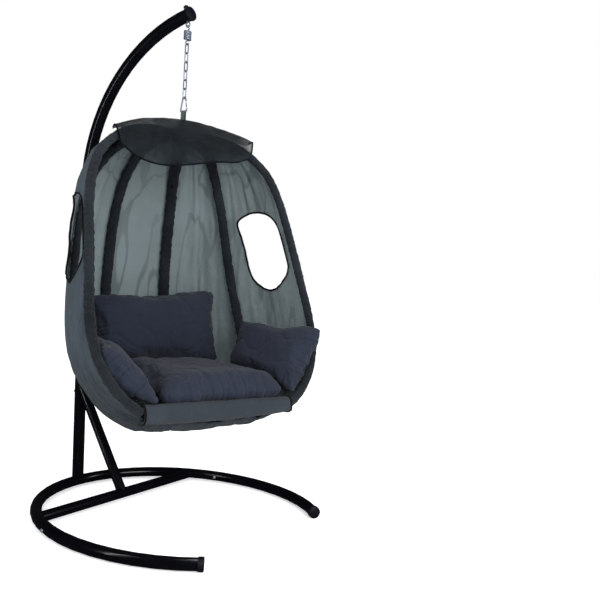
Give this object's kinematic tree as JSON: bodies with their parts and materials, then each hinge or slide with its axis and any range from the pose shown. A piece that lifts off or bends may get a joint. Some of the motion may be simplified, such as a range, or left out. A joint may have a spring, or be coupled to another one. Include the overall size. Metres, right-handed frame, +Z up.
{
  "type": "hanging egg chair",
  "caption": "Egg-shaped mesh basket chair with seat, back and arm cushions, hung by spring and chain from a curved tube stand with an open ring base.",
  "frame": {"origin": "floor level under the middle of the bounding box; the stand's own mid-plane is at x = 0.0184", "axes": "+Z up, the stand's open front towards -Y; the basket hangs turned 22.5 degrees about its hook from straight ahead, towards the stand's left"},
  "size_m": [1.038, 1.0716, 1.9507],
  "materials": {
    "steel_black": "gloss black powder coat",
    "plastic_black": "satin",
    "zinc": "bright zinc plating",
    "mesh_fabric": "open polyester mesh, matte",
    "sleeve_fabric": "gathered woven polyester, matte",
    "hood_fabric": "sheer polyester mesh",
    "piping": "bias binding, matte",
    "cushion_fabric": "soft woven polyester, slight sheen",
    "webbing": "woven webbing"
  },
  "bodies": {
    "stand": {"base_arm_left": "steel_black", "base_arm_right": "steel_black", "base_back_arc": "steel_black", "base_crossbar": "steel_black", "base_spigot_left": "steel_black", "base_spigot_right": "steel_black", "arm_cap_left": "plastic_black", "arm_cap_right": "plastic_black", "arm_left_bolt": "zinc", "arm_left_nut": "zinc", "arm_right_bolt": "zinc", "arm_right_nut": "zinc", "post_stub": "steel_black", "post_spigot": "steel_black", "post_bolt": "zinc", "post_nut": "zinc", "brace_tube": "steel_black", "pole": "steel_black", "pole_tip_cap": "plastic_black", "eye_bolt": "zinc", "eye_bolt_knob": "plastic_black", "eye_bolt_washer": "zinc"},
    "spring_body": {"spring": "zinc"},
    "link_1": {"chain_link_1": "zinc"},
    "links_2_3": {"chain_link_2": "zinc", "chain_link_3": "zinc"},
    "links_4_5": {"chain_link_4": "zinc", "chain_link_5": "zinc"},
    "snap": {"chain_link_6": "zinc", "snap_hook": "zinc"},
    "gate": {"snap_gate": "zinc"},
    "basket": {"arm_cushion_left": "cushion_fabric", "arm_cushion_right": "cushion_fabric", "back_pillow": "cushion_fabric", "fabric_shell": "mesh_fabric", "front_bar": "steel_black", "front_bar_sleeve": "mesh_fabric", "hanging_strap": "webbing", "hood": "hood_fabric", "hood_piping": "piping", "hub_pin": "steel_black", "hub_ring": "steel_black", "rib_inner_left": "steel_black", "rib_inner_right": "steel_black", "rib_outer_left": "steel_black", "rib_outer_right": "steel_black", "rib_sleeve_inner_left": "sleeve_fabric", "rib_sleeve_inner_right": "sleeve_fabric", "rib_sleeve_outer_left": "sleeve_fabric", "rib_sleeve_outer_right": "sleeve_fabric", "rim_left": "steel_black", "rim_right": "steel_black", "rim_sleeve_left": "sleeve_fabric", "rim_sleeve_right": "sleeve_fabric", "seat_cushion": "cushion_fabric", "window_piping_left": "piping", "window_piping_right": "piping"}
  },
  "joints": [
    {"name": "swing", "type": "hinge", "parent": "stand", "child": "spring_body", "pos_m": [0.0184, -0.0154, 1.8749], "axis": [1, 0, 0], "range_deg": [-22, 3]},
    {"name": "spring_stretch", "type": "slide", "parent": "spring_body", "child": "link_1", "axis": [0, 0, -1], "range_m": [0, 0.03], "stiffness_N_per_m": 6000, "springref_m": -0.05, "deforming": ["spring"]},
    {"name": "link_2_tilt", "type": "hinge", "parent": "link_1", "child": "links_2_3", "pos_m": [0.0184, -0.0154, 1.76462], "axis": [0, 1, 0], "range_deg": [-20, 20]},
    {"name": "link_4_swing", "type": "hinge", "parent": "links_2_3", "child": "links_4_5", "pos_m": [0.0184, -0.0154, 1.70202], "axis": [-1, 0, 0], "range_deg": [-3, 15]},
    {"name": "link_6_twist", "type": "hinge", "parent": "links_4_5", "child": "snap", "pos_m": [0.0184, -0.0154, 1.634], "axis": [0, 0, 1], "range_deg": [-25, 25]},
    {"name": "basket_tilt", "type": "hinge", "parent": "snap", "child": "basket", "pos_m": [0.0184, -0.0154, 1.54452], "axis": [0, 1, 0], "range_deg": [-12, 12]},
    {"name": "gate_open", "type": "hinge", "parent": "snap", "child": "gate", "pos_m": [0.0184, -0.0259, 1.57782], "axis": [1, 0, 0], "range_deg": [0, 22], "stiffness_Nm_per_rad": 0.05, "springref_deg": -20.05}
  ]
}
